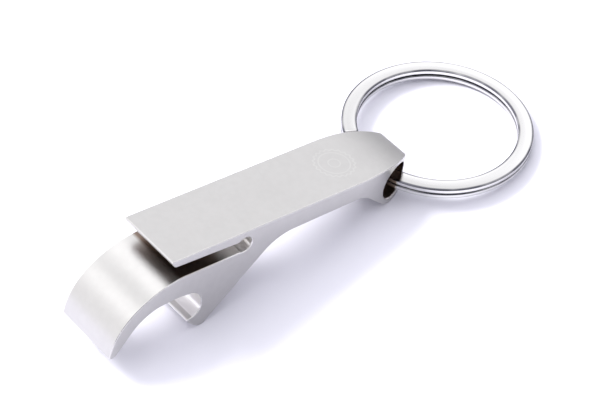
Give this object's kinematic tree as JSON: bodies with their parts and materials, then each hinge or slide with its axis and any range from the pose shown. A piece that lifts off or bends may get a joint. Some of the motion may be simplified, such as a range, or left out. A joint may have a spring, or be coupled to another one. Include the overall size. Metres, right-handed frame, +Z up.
{
  "type": "keychain bottle opener",
  "caption": "Cast metal keychain bottle opener: a slotted top plate over a curved cap hook with a fulcrum toe, and a flat split ring through its key eye.",
  "frame": {"origin": "on the surface the object stands on, under the middle of its overall box", "axes": "+X runs from the cap hook to the far end of the split ring, +Y across the body, +Z up from the surface it stands on"},
  "size_m": [0.0826, 0.03, 0.0161],
  "materials": {
    "satin_casting": "pearl nickel plate over a zinc casting, satin",
    "bright_ring": "bright nickel plate over spring steel wire, polished"
  },
  "bodies": {
    "opener": {"opener_body": "satin_casting"},
    "ring": {"split_ring": "bright_ring"}
  },
  "joints": [
    {"name": "ring_swing", "type": "hinge", "parent": "opener", "child": "ring", "pos_m": [0.01303, -0.0016, 0.00376], "axis": [0, -1, 0], "range_deg": [-170, 150]}
  ]
}
